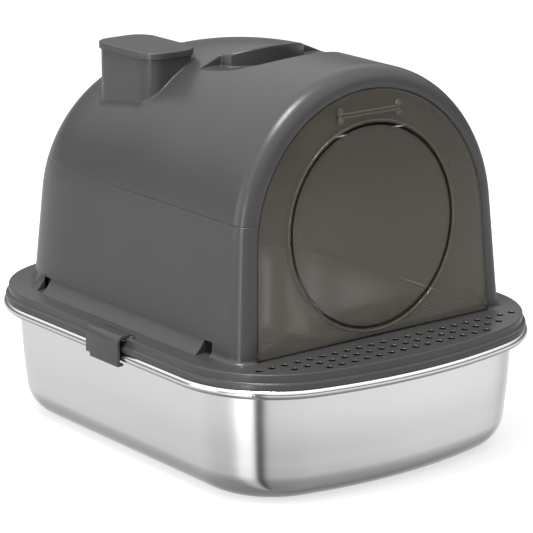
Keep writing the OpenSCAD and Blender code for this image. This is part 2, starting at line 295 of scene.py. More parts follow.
# ---------------------------------------------------------------- steel pan
def make_pan():
    """One sheet of steel: a raised floor, drafted walls with a slight belly, and a rolled rim."""
    sheet, bead, rim_in, draft, floor_r = 0.8, 5.0, 17.5, 4.0, 36.0
    flange, bulge = 3.0, 1.0
    slope = math.radians(draft)
    floor_in = rim_in + (PAN_TOP - floor_r) * math.tan(slope) + floor_r / math.cos(slope)
    join_angle = math.degrees(math.acos(1 - sheet / bead))
    boss_in, boss_h, boss_r = floor_in + 14, 1.6, 6.0
    under = [(boss_in + boss_r, boss_h), (boss_in + boss_r * 0.6, boss_h * 0.9),
             (boss_in + boss_r * 0.3, boss_h * 0.35), (boss_in, 0)]
    over = [(inset, z + sheet) for inset, z in reversed(under)]
    low, high = floor_r - floor_r * math.sin(slope), PAN_TOP - sheet - flange
    wall_z = np.linspace(low, high, 18)[1:-1]
    straight = rim_in + (high - wall_z) * math.tan(slope)
    belly = bulge * np.sin(math.pi * (wall_z - low) / (high - low)) ** 1.5
    wall_out = list(zip(straight - belly, wall_z))
    wall_in = list(zip(straight + sheet - belly, wall_z))[::-1]
    profile = [*under,
               *arc(floor_in, floor_r, floor_r, 270, 180 + draft, 22), *wall_out,
               *arc(rim_in - flange, PAN_TOP - sheet - flange, flange, 0, 90, 8),
               *arc(bead, PAN_TOP - bead, bead, 90 - join_angle, -270, 36),
               *arc(rim_in - flange, PAN_TOP - sheet - flange, flange + sheet, 90, 0, 8), *wall_in,
               *arc(floor_in, floor_r, floor_r - sheet, 180 + draft, 270, 22),
               *over]
    shape = Shape()
    shape.solid(swept(RIM, RIM_OUT, profile))
    return shape.build("steel_pan", weld=0.001, sharp=60)


# ---------------------------------------------------------------- hood shells
def arch_half_width(height, half, radius, centre_z):
    """Half-width of an arch outline at heights above the foot of the front panel."""
    reach = math.hypot(half, centre_z)
    touch = math.atan2(-centre_z, half) + math.acos(radius / reach)
    touch_z = centre_z + radius * math.sin(touch)
    on_line = half - height * math.tan(touch)
    inside = np.clip(1 - ((height - centre_z) / radius) ** 2, 0, 1)
    return np.where(height < touch_z, on_line, radius * np.sqrt(inside))


def width_factor(y, shell):
    """What the rear corners leave of the hood's width at y. shell is the depth inside the surface."""
    half, corner = HOOD_HALF - shell, REAR_CORNER - shell
    start = HOOD_REAR - REAR_CORNER
    return (half - corner + corner * falling((y - start) / corner, REAR_CORNER_POWER)) / half


def height_factor(y, shell):
    """What the rear dome leaves of the hood's height at y."""
    roof, rise = ROOF_H - shell, REAR_RISE - shell
    u = (y - DOME_START) / (HOOD_REAR - shell - DOME_START)
    return (rise + (roof - rise) * falling(u, DOME_POWER)) / roof


def body_stations(shell, start, side_steps, dome_steps):
    """Places along y: even to the dome, then closer and closer towards the rear."""
    dome = DOME_START + (HOOD_REAR - shell - DOME_START) * np.sin(
        np.linspace(0, math.pi / 2, dome_steps + 1))
    return np.concatenate([np.linspace(start, DOME_START, side_steps, endpoint=False), dome])


# One stop on the way round half of the hood's wall, from the rear outside to the rear inside: its place
# along y, its arch outline, what the rear end makes of width and height, the cove at its foot,
# whether it is on the outside, and how far the rebate's lip reaches in.
Station = namedtuple("Station", "y half radius centre_z width_share height_share cove outer lip",
                     defaults=(1.0, 1.0, 0.0, 1.0, 0.0))


def door_edge(depth, grow=0.0, lip=0.0):
    """A station on the edge of the front opening, at a depth behind the hood's front."""
    return Station(HOOD_FRONT + depth, DOOR_HALF + grow, DOOR_R + grow, DOOR_ZC, outer=0, lip=lip)


WINDOW_Y = (-142.0, 153.0)
BROAD_COVE = 16.0
NARROW_COVE = 6.0
BAR_OUT = 11.0
SEAM_DEPTH = 0.7
WINDOW_HALF = 6.5


def cove_radius(y):
    """Height of the cove: broad from the front window to behind the rear one, narrow beyond."""
    start, end = WINDOW_Y[1] + 14, WINDOW_Y[1] + 46
    behind = smooth_step(y, start, end)
    broad = BROAD_COVE + (NARROW_COVE - BROAD_COVE) * behind
    return broad if y > WINDOW_Y[0] else NARROW_COVE


def cove_reach(cove, over_plate):
    """How far the cove stands out: a round fillet when narrow, nearly a straight slope when broad."""
    slope_power = 1.6
    depth = np.clip(cove - over_plate, 0, None)
    fillet = cove - np.sqrt(np.clip(cove**2 - depth**2, 0, None))
    left = np.divide(depth, cove, out=np.zeros_like(depth), where=cove > 0)
    slope = cove * BAR_OUT / BROAD_COVE * left**slope_power
    share = smooth_step(cove, NARROW_COVE, BROAD_COVE)
    return fillet + (slope - fillet) * share


def hood_path():
    """All the stations, as one Station of arrays."""
    outer = body_stations(0, NOSE, 34, 52)
    end_w, end_h = width_factor(HOOD_REAR, 0), height_factor(HOOD_REAR, 0)
    path = [Station(HOOD_REAR, HOOD_HALF, ROOF_R, ARCH_ZC, end_w * share, end_h, NARROW_COVE)
            for share in np.linspace(0, 1, 7)[:-1]]
    path += [Station(y, HOOD_HALF, ROOF_R, ARCH_ZC, width_factor(y, 0), height_factor(y, 0), cove_radius(y))
             for y in outer[::-1]]
    for a in np.radians(np.linspace(0, 90, 11))[1:]:
        inset = FRONT_R * (1 - math.cos(a))
        path.append(Station(HOOD_FRONT + FRONT_R * (1 - math.sin(a)), HOOD_HALF - inset, ROOF_R - inset,
                            ARCH_ZC, cove=NARROW_COVE - 4 * a / math.pi))
    edge, lip_edge = 0.9, 0.5
    path += [door_edge(0, edge), door_edge(edge * 0.3, edge * 0.3), door_edge(edge), door_edge(REBATE),
             door_edge(REBATE, lip=LIP - lip_edge), door_edge(REBATE + lip_edge, lip=LIP),
             door_edge(FRAME_DEPTH - 0.6, lip=LIP), door_edge(FRAME_DEPTH, lip=LIP - 0.6)]
    inner = body_stations(WALL, HOOD_FRONT + FRAME_DEPTH, 14, 30)
    path += [Station(y, HOOD_HALF - WALL, ROOF_R - WALL, ARCH_ZC, width_factor(y, WALL),
                     height_factor(y, WALL), outer=0) for y in inner]
    in_w, in_h = width_factor(HOOD_REAR - WALL, WALL), height_factor(HOOD_REAR - WALL, WALL)
    path += [Station(HOOD_REAR - WALL, HOOD_HALF - WALL, ROOF_R - WALL, ARCH_ZC, in_w * share, in_h, outer=0)
             for share in np.linspace(1, 0, 5)[1:]]
    return Station(*np.array(path).T)


PATH = hood_path()


def leaned(y, height):
    """Place along y at a height: the front leans back and the rear leans forward."""
    share = np.clip((y - NOSE) / (HOOD_REAR - NOSE), 0, 1)
    return y + height * ((1 - share) * FRONT_TAN - share * REAR_TAN)


def whole_ring(x, y, z):
    """The full closed ring from its right half, which starts and ends on the middle plane."""
    right = np.column_stack([x, y, z])
    left = right[::-1][1:-1] * [-1, 1, 1]
    return np.vstack([right, left])


def plan_normals(x, y):
    """Outward directions of the wall in plan, along the right half's stations."""
    dx, dy = np.gradient(x), np.gradient(y)
    length = np.maximum(np.hypot(dx, dy), 1e-6)
    return -dy / length, dx / length


def lower_ring(height):
    """Ring of the lower hood's wall at a height above the foot of the panel."""
    lip = PATH.lip * smooth_step(height, LIP_START - 1, LIP_START + 1)
    raised = np.where(height > 0, height / PATH.height_share, height)
    x = PATH.width_share * np.array([
        arch_half_width(h, half - reach, radius - reach, centre_z)
        for h, half, radius, centre_z, reach in zip(raised, PATH.half, PATH.radius, PATH.centre_z, lip)])
    y = leaned(PATH.y, height)
    nx, ny = plan_normals(x, y)
    over_plate = max(height + FOOT_Z - PLATE_Z, 0)
    flare = np.where(PATH.cove > 0, cove_reach(PATH.cove, over_plate), 0)
    groove = SEAM_DEPTH * smooth_step(height, SEAM_H - 0.8, SEAM_H - 0.2)
    push = (flare - groove) * PATH.outer
    return whole_ring(x + nx * push, y + ny * push, np.full(len(x), FOOT_Z + height))


def upper_ring(share):
    """Ring of the upper hood, from the seam (0) up to the crown (1)."""
    radius = PATH.radius - PATH.lip
    low = np.arcsin(np.clip((SEAM_H / PATH.height_share - PATH.centre_z) / radius, -1, 1))
    angle = low + (math.pi / 2 - low) * share
    x = PATH.width_share * radius * np.cos(angle)
    height = PATH.height_share * (PATH.centre_z + radius * np.sin(angle))
    y = leaned(PATH.y, height)
    nx, ny = plan_normals(x, y)
    groove = SEAM_DEPTH * (1 - smooth_step(height, SEAM_H + 0.2, SEAM_H + 0.8)) * PATH.outer
    return whole_ring(x - nx * groove, y - ny * groove, FOOT_Z + height)


def make_upper_shell():
    """The upper hood from the seam to the crown, with rings close together at the seam's groove."""
    shares = np.concatenate([[0, 0.0012, 0.003], np.linspace(0.01, 1, 78)])
    rings = [upper_ring(s) for s in shares]
    shape = Shape()
    shape.sheet(rings, closed=True)
    shape.face(rings[0])
    return shape.build("upper_hood_shell", weld=0.002)


def make_lower_shell():
    foot = -(FOOT_Z - PLATE_Z)
    cove_rows = foot + BROAD_COVE * (1 - np.cos(np.radians(np.linspace(0, 90, 16))))
    rows = np.concatenate([[foot - WALL], cove_rows, np.linspace(cove_rows[-1], SEAM_H - 0.8, 20)[1:],
                           [SEAM_H - 0.5, SEAM_H - 0.15, SEAM_H - 0.02]])
    shape = Shape()
    shape.solid([lower_ring(height) for height in rows])
    return shape.build("lower_wall", weld=0.002)


# ---------------------------------------------------------------- plate, ledge and clip hinges
LIP_IN = 2.6
PLATE_IN = 6.0
SILL_BACK = -166.0
PIN_X = (pin_lo[0] + pin_hi[0]) / 2
PIN_Z = (pin_lo[2] + pin_hi[2]) / 2
CLIP_Y = (pin_lo[1] + pin_hi[1]) / 2
CLIP_W = clip_hi[1] - clip_lo[1]


def make_knuckle(side, end):
    """A round eye that holds one end of a clip's pin, with bevelled ends."""
    radius, length, bevel, gap = 3.6, 5.5, 0.4, 0.6
    middle = CLIP_Y + end * ((CLIP_W + length) / 2 + gap)
    angles = np.linspace(0, 2 * math.pi, 28, endpoint=False)
    rings = []
    for along, r in ((-length / 2, radius - bevel), (-length / 2 + bevel, radius),
                     (length / 2 - bevel, radius), (length / 2, radius - bevel)):
        y = np.full(len(angles), middle + along)
        rings.append(np.column_stack([side * PIN_X + r * np.cos(angles), y, PIN_Z - r * np.sin(angles)]))
    shape = Shape()
    shape.solid(rings)
    return shape.build("knuckle")


def ledge_hole_cutter():
    """Three rows of round holes, chamfered above and wider below a thin skin."""
    radius, pitch, first_row, row_counts = 3.9, 16.0, 21.0, (22, 18, 14)
    chamfer, skin, undercut = 0.35, 1.1, 1.6
    profile = ((radius + undercut, PLATE_Z - 2 * WALL), (radius + undercut, PLATE_Z - skin - 0.5),
               (radius, PLATE_Z - skin), (radius, PLATE_Z - chamfer), (radius + chamfer, PLATE_Z),
               (radius + chamfer + 1, PLATE_Z + 1))
    angles = np.linspace(0, 2 * math.pi, 24, endpoint=False)
    circle = np.column_stack([np.cos(angles), np.sin(angles)])
    shape = Shape()
    for row, count in enumerate(row_counts):
        for i in range(count):
            centre = np.array([(i - (count - 1) / 2) * pitch, HOOD_FRONT - first_row - row * pitch])
            shape.solid([with_z(centre + r * circle, z) for r, z in profile])
    return shape.build("hole_cutter")


def interior_cutter():
    """Everything inside the hood's wall, from behind the sill to the rear."""
    first_inner = int(np.argmax((PATH.half == HOOD_HALF - WALL) & (PATH.outer == 0)))
    right = lower_ring(0.0)[first_inner:len(PATH.y)]
    left = right[::-1][1:] * [-1, 1, 1]
    loop = np.vstack([right, left])[:, :2]
    loop[:, 1] = np.maximum(loop[:, 1], SILL_BACK)
    least_step = 0.05
    keep = [p for k, p in enumerate(loop) if k == 0 or np.linalg.norm(p - loop[k - 1]) > least_step]
    return prism(np.array(keep)[::-1], PLATE_Z - 10, PLATE_Z + 5)


def side_block(side, y, half, near, far, low, high):
    """A block across the side wall: near and far are measured outward from the wall's face."""
    ends = sorted((side * (HOOD_HALF + near), side * (HOOD_HALF + far)))
    return block([ends[0], y - half, PLATE_Z + low], [ends[1], y + half, PLATE_Z + high])


def cut_windows(wall):
    """Cuts a gap across each bar and a blind window into the wall behind the gap, and returns the liners."""
    depth, low, high, liner_wall = 12.5, 0.4, 14.5, 1.5
    liners = []
    for side in (-1, 1):
        for y in WINDOW_Y:
            liner = side_block(side, y, WINDOW_HALF + liner_wall, -depth - liner_wall, -2.4, -1,
                               high + liner_wall)
            carve(liner, side_block(side, y, WINDOW_HALF, -depth, 0, low, high))
            liners.append(liner)
            carve(wall, side_block(side, y, WINDOW_HALF, 0.1, BROAD_COVE + 6, -1.2, 17))
            carve(wall, side_block(side, y, WINDOW_HALF, -9, 2, low, high))
    return liners


def make_plate():
    """The plate over the pan's rim, with its skirt, the ledge's holes and a notch for each clip."""
    plate_r = 1.5
    profile = [(PLATE_IN + WALL, PLATE_Z - WALL), (PLATE_IN + WALL, PAN_TOP + 8),
               (LIP_IN + WALL, PAN_TOP + 4), (LIP_IN + WALL, PAN_TOP), (LIP_IN + 0.5, PAN_TOP),
               (LIP_IN, PAN_TOP + 0.5),
               (LIP_IN, PAN_TOP + 4.6), (LIP_IN + 0.3, PAN_TOP + 5.2), (PLATE_IN - 0.5, PAN_TOP + 6.1),
               (PLATE_IN, PAN_TOP + 6.6), *arc(PLATE_IN + plate_r, PLATE_Z - plate_r, plate_r, 180, 90, 6)]
    shape = Shape()
    shape.solid(swept(RIM, RIM_OUT, profile))
    plate = shape.build("plate", sharp=35)
    carve(plate, interior_cutter())
    carve(plate, ledge_hole_cutter())
    notch_half = CLIP_W / 2 + 0.6
    for side in (-1, 1):
        ends = sorted((side * (PIN_X - 5.3), side * (PAN_W / 2 + 5)))
        carve(plate, block([ends[0], CLIP_Y - notch_half, PIN_Z - 4],
                           [ends[1], CLIP_Y + notch_half, PIN_Z + 20]))
    return plate


def make_lower_hood():
    """The wall below the seam, with its windows, the plate, the clips' eyes and the sill."""
    wall, plate = make_lower_shell(), make_plate()
    extras = cut_windows(wall)
    extras += [make_knuckle(side, end) for side in (-1, 1) for end in (-1, 1)]
    sill_half = HOOD_HALF - 12
    extras.append(block([-sill_half, SILL_BACK - WALL, PLATE_Z - WALL], [sill_half, SILL_BACK, PLATE_Z + 6]))
    hood = join(wall, plate, *extras)
    hood.name = "lower_hood_shell"
    tidy(hood, weld=0.001, sharp=35)
    return hood


# ---------------------------------------------------------------- roof: recess, box and lid
RECESS_Z = 403.5
RECESS_HALF = 81.2
RECESS_FRONT = 86.0
GRIP_HALF = 52.0
GRIP_OUT = 28.0
GRIP_BOW_R = 79.0
GRIP_CORNER = 12.0


def recess_outline():
    """Counter-clockwise outline of the handle recess: half an oval, less the bowed grip."""
    a = np.radians(np.linspace(180, 360, 91))
    oval = np.column_stack([RECESS_HALF * np.cos(a), RECESS_FRONT * np.sin(a)])
    inner_r = 2.5
    bow_y = GRIP_BOW_R - GRIP_OUT
    cx = GRIP_HALF - GRIP_CORNER
    cy = bow_y - math.sqrt((GRIP_BOW_R - GRIP_CORNER) ** 2 - cx**2)
    meet = math.degrees(math.atan2(cy - bow_y, cx))
    right = np.vstack([arc(GRIP_HALF + inner_r, -inner_r, inner_r, 90, 180, 6),
                       arc(cx, cy, GRIP_CORNER, 0, meet, 12),
                       arc(0, bow_y, GRIP_BOW_R, meet, -90, 22)])
    left = right[::-1][1:] * [-1, 1]
    points = np.vstack([oval, right, left])
    points, _ = subdivided(points, np.tile([1.0, 0.0], (len(points), 1)), longest=3.0)
    return points, outward(points)


def dome_heights(tree, points):
    """Height of the hood's outside under each plan point."""
    out = []
    for x, y in points:
        hit = tree.ray_cast(Vector((x * MM, y * MM, 1.0)), Vector((0, 0, -1)))
        out.append(hit[0].z / MM if hit[0] else 0.0)
    return np.array(out)


def bezier_strip(shape, start, corner, end, steps=7):
    """A rounded strip between two rows of points, tangent to both at the corner row."""
    rows = []
    for t in np.linspace(0, 1, steps + 1):
        rows.append((1 - t) ** 2 * start + 2 * t * (1 - t) * corner + t * t * end)
    shape.sheet(rows, closed=True)
    return rows


def add_recess(hood, tree):
    """Cuts the handle recess and builds its rounded rim, wall and floor."""
    points, normals = recess_outline()
    top = dome_heights(tree, points)
    tall = np.clip(top - RECESS_Z, 0, None)
    edge = np.minimum(2.6, 0.45 * tall)
    rim = points + normals * edge[:, None]
    rim_z = np.maximum(dome_heights(tree, rim), RECESS_Z)
    carve(hood, prism(rim, RECESS_Z - 0.8, ROOF_Z + 20))
    top = np.maximum(top, RECESS_Z)
    shape = Shape()
    bezier_strip(shape, with_z(rim, rim_z), with_z(points, top), with_z(points, top - edge))
    foot = np.minimum(2.0, 0.45 * tall)
    inner = points - normals * foot[:, None]
    shape.sheet([with_z(points, top - edge), with_z(points, RECESS_Z + foot)], closed=True)
    rows = bezier_strip(shape, with_z(points, RECESS_Z + foot), with_z(points, RECESS_Z),
                        with_z(inner, RECESS_Z), 5)
    shape.face(rows[-1])
    under = points + normals * np.minimum(WALL, 0.3 + tall)[:, None]
    shape.sheet([with_z(under, RECESS_Z - WALL), with_z(under, np.maximum(top - 1.5, RECESS_Z - WALL))],
                closed=True)
    shape.face(with_z(under, RECESS_Z - WALL))
    return shape.build("recess", weld=0.001, sharp=50)


BOX_CENTRE = ((lid_lo[0] + lid_hi[0]) / 2, (lid_lo[1] + lid_hi[1]) / 2)
LID_W, LID_L = lid_hi[0] - lid_lo[0], lid_hi[1] - lid_lo[1]
LID_Z = lid_hi[2]
LID_R = 22.0
LID_DEPTH = 7.0
LID_OVER = 2.5
BOX_W, BOX_L, BOX_R = LID_W - 2 * LID_OVER, LID_L - 2 * LID_OVER, LID_R - LID_OVER
BOX_WALL = 2.5
BOX_FLOOR = 352.0


def slot_cutter(low, high):
    """Seven vent slots through the roof box's floor."""
    pitch, length, width, radius = 11, 36, 4, 1.9
    shape = Shape()
    for i in range(-3, 4):
        centre = (BOX_CENTRE[0], BOX_CENTRE[1] + i * pitch)
        points, _ = rounded_rect(centre, length, width, radius, 4)
        shape.solid([with_z(points, low), with_z(points, high)])
    return shape.build("slots")


def add_roof_box(hood, tree):
    """Opens the roof under the box, and builds the box and its blend into the roof."""
    points, normals = rounded_rect(BOX_CENTRE, BOX_W, BOX_L, BOX_R, 16)
    base = dome_heights(tree, points)
    soft = 2.2 + 2.6 * np.clip(-normals[:, 0], 0, 1) ** 1.5
    spread = points + normals * soft[:, None]
    skin = 0.02
    shape = Shape()
    bezier_strip(shape, with_z(spread, dome_heights(tree, spread) - skin), with_z(points, base),
                 with_z(points - skin * normals, base + soft), 9)
    blend = shape.build("box_blend")
    top, inner_floor, edge = LID_Z - LID_DEPTH, BOX_FLOOR + BOX_WALL, 0.6
    profile = [(3.0, BOX_FLOOR), (edge, BOX_FLOOR + edge), (0, BOX_FLOOR + 3), (0, top - edge), (edge, top),
               (BOX_WALL - edge, top), (BOX_WALL, top - edge), (BOX_WALL, inner_floor + 2),
               (BOX_WALL + edge, inner_floor + edge), (BOX_WALL + 2, inner_floor)]
    tub = Shape()
    tub.solid(swept(points, normals, profile))
    box = tub.build("box", sharp=50)
    carve(box, slot_cutter(BOX_FLOOR - 1, inner_floor + 1))
    carve(hood, prism(points - 1.2 * normals, BOX_FLOOR - 40, ROOF_Z + 20))
    return [blend, box]


def snap_tabs():
    """Tabs inside the side walls that bridge the seam."""
    half_thickness, length, reach = 1.2, 24, 8
    tabs = []
    for side in (-1, 1):
        for y in (-120, 60):
            x = side * (HOOD_HALF - 15.6)
            tabs.append(block([x - half_thickness, y, SEAM_Z - reach],
                              [x + half_thickness, y + length, SEAM_Z + reach], "tab"))
    return tabs


def make_upper_hood():
    """The roof above the seam, with its recess, its box and the tabs that hold it on."""
    hood = make_upper_shell()
    bm = bmesh.new()
    bm.from_mesh(hood.data)
    tree = BVHTree.FromBMesh(bm)
    bm.free()
    recess = add_recess(hood, tree)
    box_parts = add_roof_box(hood, tree)
    join(hood, recess, *box_parts, *snap_tabs())
    hood.data.shade_smooth()
    hood.data.set_sharp_from_angle(angle=math.radians(35))
    return hood


def make_lid():
    """The roof box's lid, with a rim that plugs the box."""
    points, normals = rounded_rect(BOX_CENTRE, LID_W, LID_L, LID_R, 16)
    low, under = LID_Z - LID_DEPTH, LID_Z - 2.5
    plug_out = LID_OVER + BOX_WALL + 0.3
    plug_in = plug_out + 1.8
    profile = [(plug_in + 4, under), (plug_in, under), (plug_in, low - 4.6), (plug_in - 0.4, low - 5),
               (plug_out + 0.4, low - 5), (plug_out, low - 4.6), (plug_out, low), (0.5, low), (0, low + 0.5),
               *arc(1.4, LID_Z - 1.4, 1.4, 180, 90, 6), (3.5, LID_Z), (12, LID_Z)]
    shape = Shape()
    shape.solid(swept(points, normals, profile))
    return shape.build("roof_box_lid", sharp=40)


# ---------------------------------------------------------------- pieces that keep their CAD shape
def bevelled_copy(node, name, width):
    """A copy of a CAD node with flat faces merged and its edges rounded."""
    sharp = math.radians(35)
    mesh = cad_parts[node].data.copy()
    obj = bpy.data.objects.new(name, mesh)
    bpy.context.scene.collection.objects.link(obj)
    mesh.materials.clear()
    bm = bmesh.new()
    bm.from_mesh(mesh)
    bmesh.ops.remove_doubles(bm, verts=bm.verts, dist=0.002 * MM)
    bmesh.ops.dissolve_limit(bm, angle_limit=math.radians(0.3), verts=bm.verts, edges=bm.edges)
    bmesh.ops.recalc_face_normals(bm, faces=bm.faces)
    edges = [e for e in bm.edges if len(e.link_faces) == 2 and e.calc_face_angle(0) > sharp]
    bmesh.ops.bevel(bm, geom=edges, offset=width * MM, segments=3, profile=0.5, affect="EDGES",
                    clamp_overlap=True)
    bm.to_mesh(mesh)
    bm.free()
    if "custom_normal" in mesh.attributes:
        mesh.attributes.remove(mesh.attributes["custom_normal"])
    mesh.shade_smooth()
    mesh.set_sharp_from_angle(angle=math.radians(30))
    return obj


# ---------------------------------------------------------------- relief on the panel, and the bag
ENTRY_R = 106.7
ENTRY_H = 114.0
BONE_H = 232.0
BONE_HALF = 39.5


def on_front(x, height, depth):
    """A point at a height up the leaning front of the panel and a depth behind it."""
    return (x, HOOD_FRONT + height * math.sin(LEAN) + depth * math.cos(LEAN),
            FOOT_Z + height * math.cos(LEAN) - depth * math.sin(LEAN))


def dome(shape, x, height, radius, proud):
    """A low round boss on the panel."""
    a = np.linspace(0, 2 * math.pi, 20, endpoint=False)
    rings = []
    for t in np.linspace(0, 1, 6):
        r = radius * math.cos(t * math.pi / 2 * 0.96)
        depth = 0.3 - (proud + 0.3) * math.sin(t * math.pi / 2)
        rings.append([on_front(x + r * math.cos(b), height + r * math.sin(b), depth) for b in a])
    shape.solid(rings)


def add_bead(shape, section):
    """The bead round the entry."""
    bead_r, tube = ENTRY_R + 2.6, 0.85
    rings = []
    for around in np.radians(np.linspace(0, 360, 181)):
        ring = []
        for t in section:
            r = bead_r + tube * math.cos(t)
            x, height = r * math.cos(around), ENTRY_H + r * math.sin(around)
            ring.append(on_front(x, height, 0.2 - tube * math.sin(t)))
        rings.append(ring)
    shape.sheet(rings, closed=True)


def add_bone(shape, section):
    """The bone-shaped finger grip: two bars between two pairs of bosses."""
    bar, apart = 1.5, 1.9
    for offset in (-apart, apart):
        rows = []
        for x in np.linspace(-BONE_HALF + 5, BONE_HALF - 5, 12):
            rows.append([on_front(x, BONE_H + offset + bar * math.cos(t) * 0.7, 0.2 - bar * 0.8 * math.sin(t))
                         for t in section])
        shape.solid(rows)
    for side in (-1, 1):
        for lift in (-4.4, 4.4):
            for radius, proud in ((4.2, 1.5), (1.6, 2.2)):
                dome(shape, side * (BONE_HALF - 1.5), BONE_H + lift, radius, proud)


def make_relief():
    """What stands proud of the panel, in thin lines."""
    shape = Shape()
    section = np.radians(np.linspace(0, 360, 12, endpoint=False))
    add_bead(shape, section)
    add_bone(shape, section)
    return shape.build("panel_relief", weld=0.001, sharp=60)


def make_bag():
    """The charcoal bag: a filled pillow with a pressed seam round its edge."""
    centre, half = (bag_lo + bag_hi) / 2, (bag_hi - bag_lo) / 2
    steps, seam, seam_half, wrinkle = 40, 0.06, 0.08, 0.2
    points, _ = rounded_rect(centre[:2], 2 * half[0], 2 * half[1], 12, 10)
    rings = []
    for t in np.linspace(0, 1, steps + 1):
        angle = math.pi * (t - 0.5)
        height = math.sin(angle)
        bulge = np.sign(height) * abs(height) ** 0.8 * half[2]
        scale = (1 - seam) * abs(math.cos(angle)) ** 0.55 + (seam if abs(height) < seam_half else 0)
        ring = centre[:2] + (points - centre[:2]) * max(scale, 0.02)
        wave = np.sin(ring[:, 0] * 0.32) * np.cos(ring[:, 1] * 0.27) * (1 - abs(height))
        rings.append(with_z(ring, centre[2] + bulge * 0.96 + wave * wrinkle))
    shape = Shape()
    shape.solid(rings)
    return shape.build("charcoal_pillow", sharp=60)


# ---------------------------------------------------------------- materials
class Look:
    """A material whose sockets are painted with procedural textures, in the piece's own coordinates."""

    def __init__(self, name):
        self.material = bpy.data.materials.new(name)
        self.material.use_nodes = True
        self.nodes, self.links = self.material.node_tree.nodes, self.material.node_tree.links
        self.inputs = self.nodes["Principled BSDF"].inputs
        self.place = self.nodes.new("ShaderNodeTexCoord").outputs["Object"]

    def noise(self, scale, detail, roughness=0.55, stretch=(1, 1, 1)):
        mapping = self.nodes.new("ShaderNodeMapping")
        mapping.inputs["Scale"].default_value = stretch
        self.links.new(self.place, mapping.inputs["Vector"])
        texture = self.nodes.new("ShaderNodeTexNoise")
        texture.inputs["Scale"].default_value = scale
        texture.inputs["Detail"].default_value = detail
        texture.inputs["Roughness"].default_value = roughness
        self.links.new(mapping.outputs["Vector"], texture.inputs["Vector"])
        return texture.outputs["Fac"]

    def ramp(self, texture, low, high):
        """Maps a texture's middle range onto a range of colours or grey levels."""
        node = self.nodes.new("ShaderNodeValToRGB")
        for element, at, colour in zip(node.color_ramp.elements, (0.3, 0.7), (low, high)):
            element.position = at
            element.color = (*colour, 1) if isinstance(colour, tuple) else (colour, colour, colour, 1)
        self.links.new(texture, node.inputs["Fac"])
        return node.outputs["Color"]

    def paint(self, socket, texture, low, high):
        self.links.new(self.ramp(texture, low, high), self.inputs[socket])

    def fix(self, socket, value):
        self.inputs[socket].default_value = value

    def bump(self, texture, strength, distance):
        node = self.nodes.new("ShaderNodeBump")
        node.inputs["Strength"].default_value = strength
        node.inputs["Distance"].default_value = distance
        self.links.new(texture, node.inputs["Height"])
        self.links.new(node.outputs["Normal"], self.inputs["Normal"])

    def rising(self, low, high):
        """How far up the piece a point lies, from 0 to 1 between two heights in metres."""
        split = self.nodes.new("ShaderNodeSeparateXYZ")
        self.links.new(self.place, split.inputs["Vector"])
        level = self.nodes.new("ShaderNodeMapRange")
        level.inputs["From Min"].default_value = low
        level.inputs["From Max"].default_value = high
        self.links.new(split.outputs["Z"], level.inputs["Value"])
        return level.outputs["Result"]

    def blend(self, factor, first, second):
        """A colour that goes from the first to the second as the factor rises."""
        node = self.nodes.new("ShaderNodeMix")
        node.data_type = "RGBA"
        self.links.new(factor, node.inputs["Factor"])
        for socket, colour in zip([x for x in node.inputs if x.type == "RGBA"], (first, second)):
            self.links.new(colour, socket)
        return next(x for x in node.outputs if x.type == "RGBA")


def hood_plastic():
    look = Look("hood_plastic")
    look.paint("Base Color", look.noise(9, 3), (0.040, 0.040, 0.040), (0.045, 0.045, 0.0445))
    look.paint("Roughness", look.noise(260, 3), 0.29, 0.34)
    look.bump(look.noise(1500, 2), 0.05, 0.0002)
    look.fix("Specular IOR Level", 0.38)
    return look.material


def pan_steel():
    """Brushed steel, with the brush marks running round the pan."""
    look = Look("pan_steel")
    look.fix("Metallic", 1)
    look.paint("Base Color", look.noise(6, 2), (0.80, 0.80, 0.795), (0.84, 0.84, 0.835))
    brush = look.noise(1, 3, 0.6, stretch=(14, 14, 2200))
    look.paint("Roughness", brush, 0.13, 0.18)
    look.bump(brush, 0.03, 0.0001)
    return look.material


def pin_steel():
    look = Look("pin_steel")
    look.fix("Metallic", 1)
    look.paint("Base Color", look.noise(900, 3), (0.5, 0.5, 0.5), (0.62, 0.62, 0.61))
    look.paint("Roughness", look.noise(1800, 3), 0.25, 0.4)
    return look.material


def smoked_plastic():
    """See-through brown plastic, painted lighter towards its foot: painted light for the light from inside
    the hood that shows through there.
    """
    look = Look("smoked_plastic")
    cloud = look.noise(7, 2)
    # Painted light: the foot's colour is lighter than the crown's, for light from inside the hood.
    foot = look.ramp(cloud, (0.150, 0.134, 0.112), (0.170, 0.153, 0.129))
    crown = look.ramp(cloud, (0.090, 0.077, 0.062), (0.105, 0.091, 0.074))
    look.links.new(look.blend(look.rising(0.17, 0.33), foot, crown), look.inputs["Base Color"])
    look.paint("Roughness", look.noise(60, 3), 0.05, 0.09)
    look.fix("IOR", 1.49)
    look.fix("Alpha", 0.35)
    return look.material


def smoked_edge_painted_shade():
    """The smoked plastic on its edge faces: a darker, denser colour, partly the depth of tinted plastic and
    partly painted shade for the light the edges bend away.
    """
    look = Look("smoked_edge_painted_shade")
    # Painted shade: a darker copy of the smoked plastic for the edge faces.
    look.paint("Base Color", look.noise(30, 2), (0.030, 0.022, 0.015), (0.042, 0.032, 0.023))
    look.paint("Roughness", look.noise(90, 3), 0.1, 0.16)
    look.fix("Alpha", 0.66)
    return look.material


def smoked_bead_painted_highlight():
    """The smoked plastic where it is raised in thin lines: lighter than the panel, a painted highlight for
    the light these lines catch.
    """
    look = Look("smoked_bead_painted_highlight")
    # Painted highlight: a lighter copy of the smoked plastic.
    look.paint("Base Color", look.noise(30, 2), (0.110, 0.090, 0.070), (0.135, 0.112, 0.088))
    look.paint("Roughness", look.noise(90, 3), 0.07, 0.11)
    look.fix("Alpha", 0.62)
    return look.material


def tray_plastic():
    look = Look("tray_plastic")
    look.paint("Base Color", look.noise(40, 3), 0.17, 0.2)
    look.paint("Roughness", look.noise(500, 3), 0.42, 0.52)
    look.bump(look.noise(1500, 2), 0.05, 0.0002)
    return look.material


